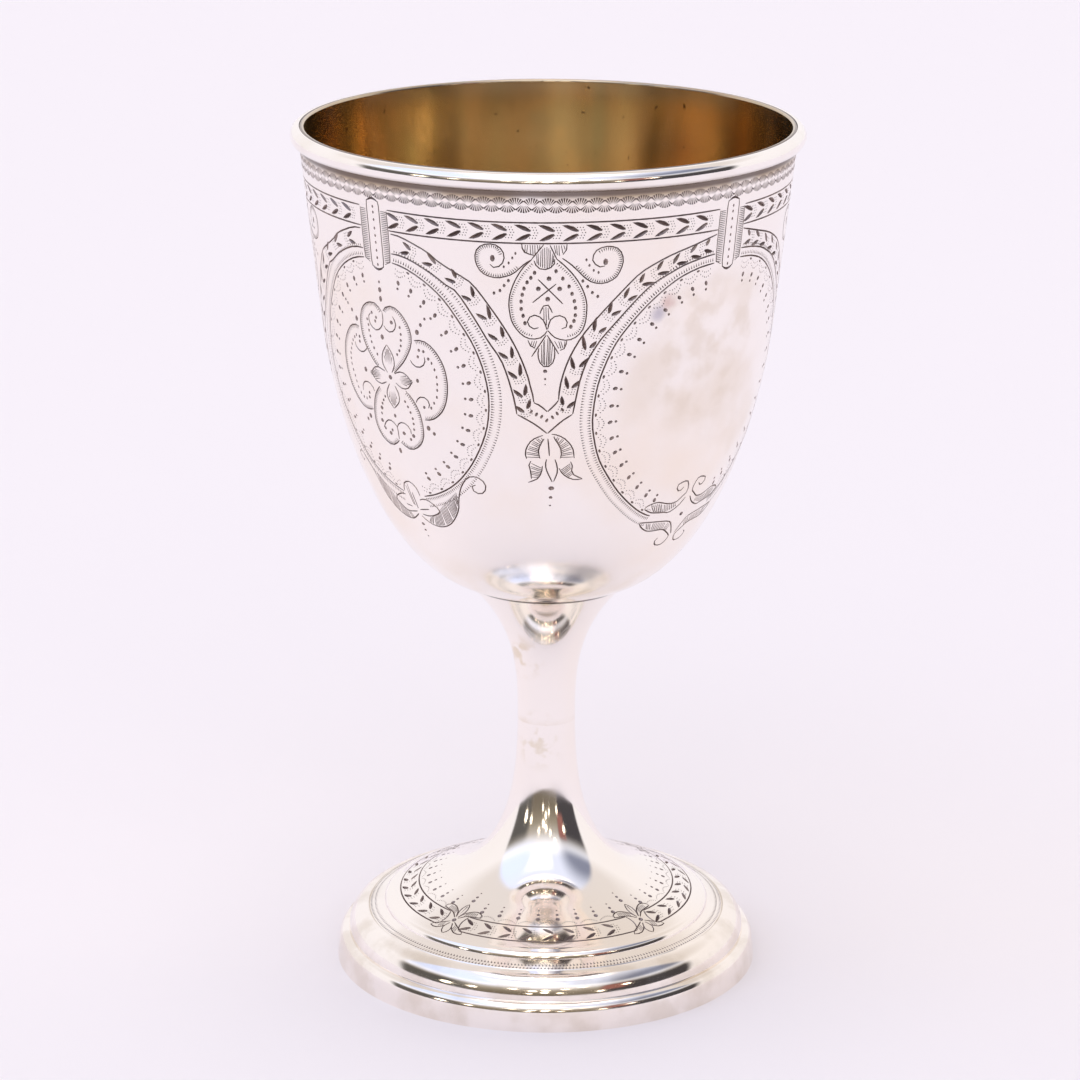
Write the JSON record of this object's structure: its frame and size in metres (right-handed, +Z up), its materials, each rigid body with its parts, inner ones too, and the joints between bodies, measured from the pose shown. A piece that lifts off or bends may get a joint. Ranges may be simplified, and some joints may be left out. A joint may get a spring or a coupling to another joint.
{
  "type": "engraved chalice",
  "caption": "Footed drinking goblet in silver with an engraved tulip bowl, gilt inside, on a waisted stem and a stepped domed foot.",
  "frame": {"origin": "centre of the foot's underside, on the table", "axes": "+Z up along the goblet's axis, -Y to the front, with a spandrel leaf of the bowl's engraving facing the viewer"},
  "size_m": [0.09, 0.09, 0.155],
  "materials": {
    "bowl_silver": "polished silver, engraved, with darkened cuts and a gilt inside",
    "wire_silver": "polished silver",
    "stem_silver": "polished silver with faint brown tarnish",
    "foot_silver": "polished silver, engraved, with darkened cuts"
  },
  "bodies": {
    "root": {"bowl": "bowl_silver", "rim_wire": "wire_silver", "stem": "stem_silver", "foot": "foot_silver"}
  },
  "joints": []
}
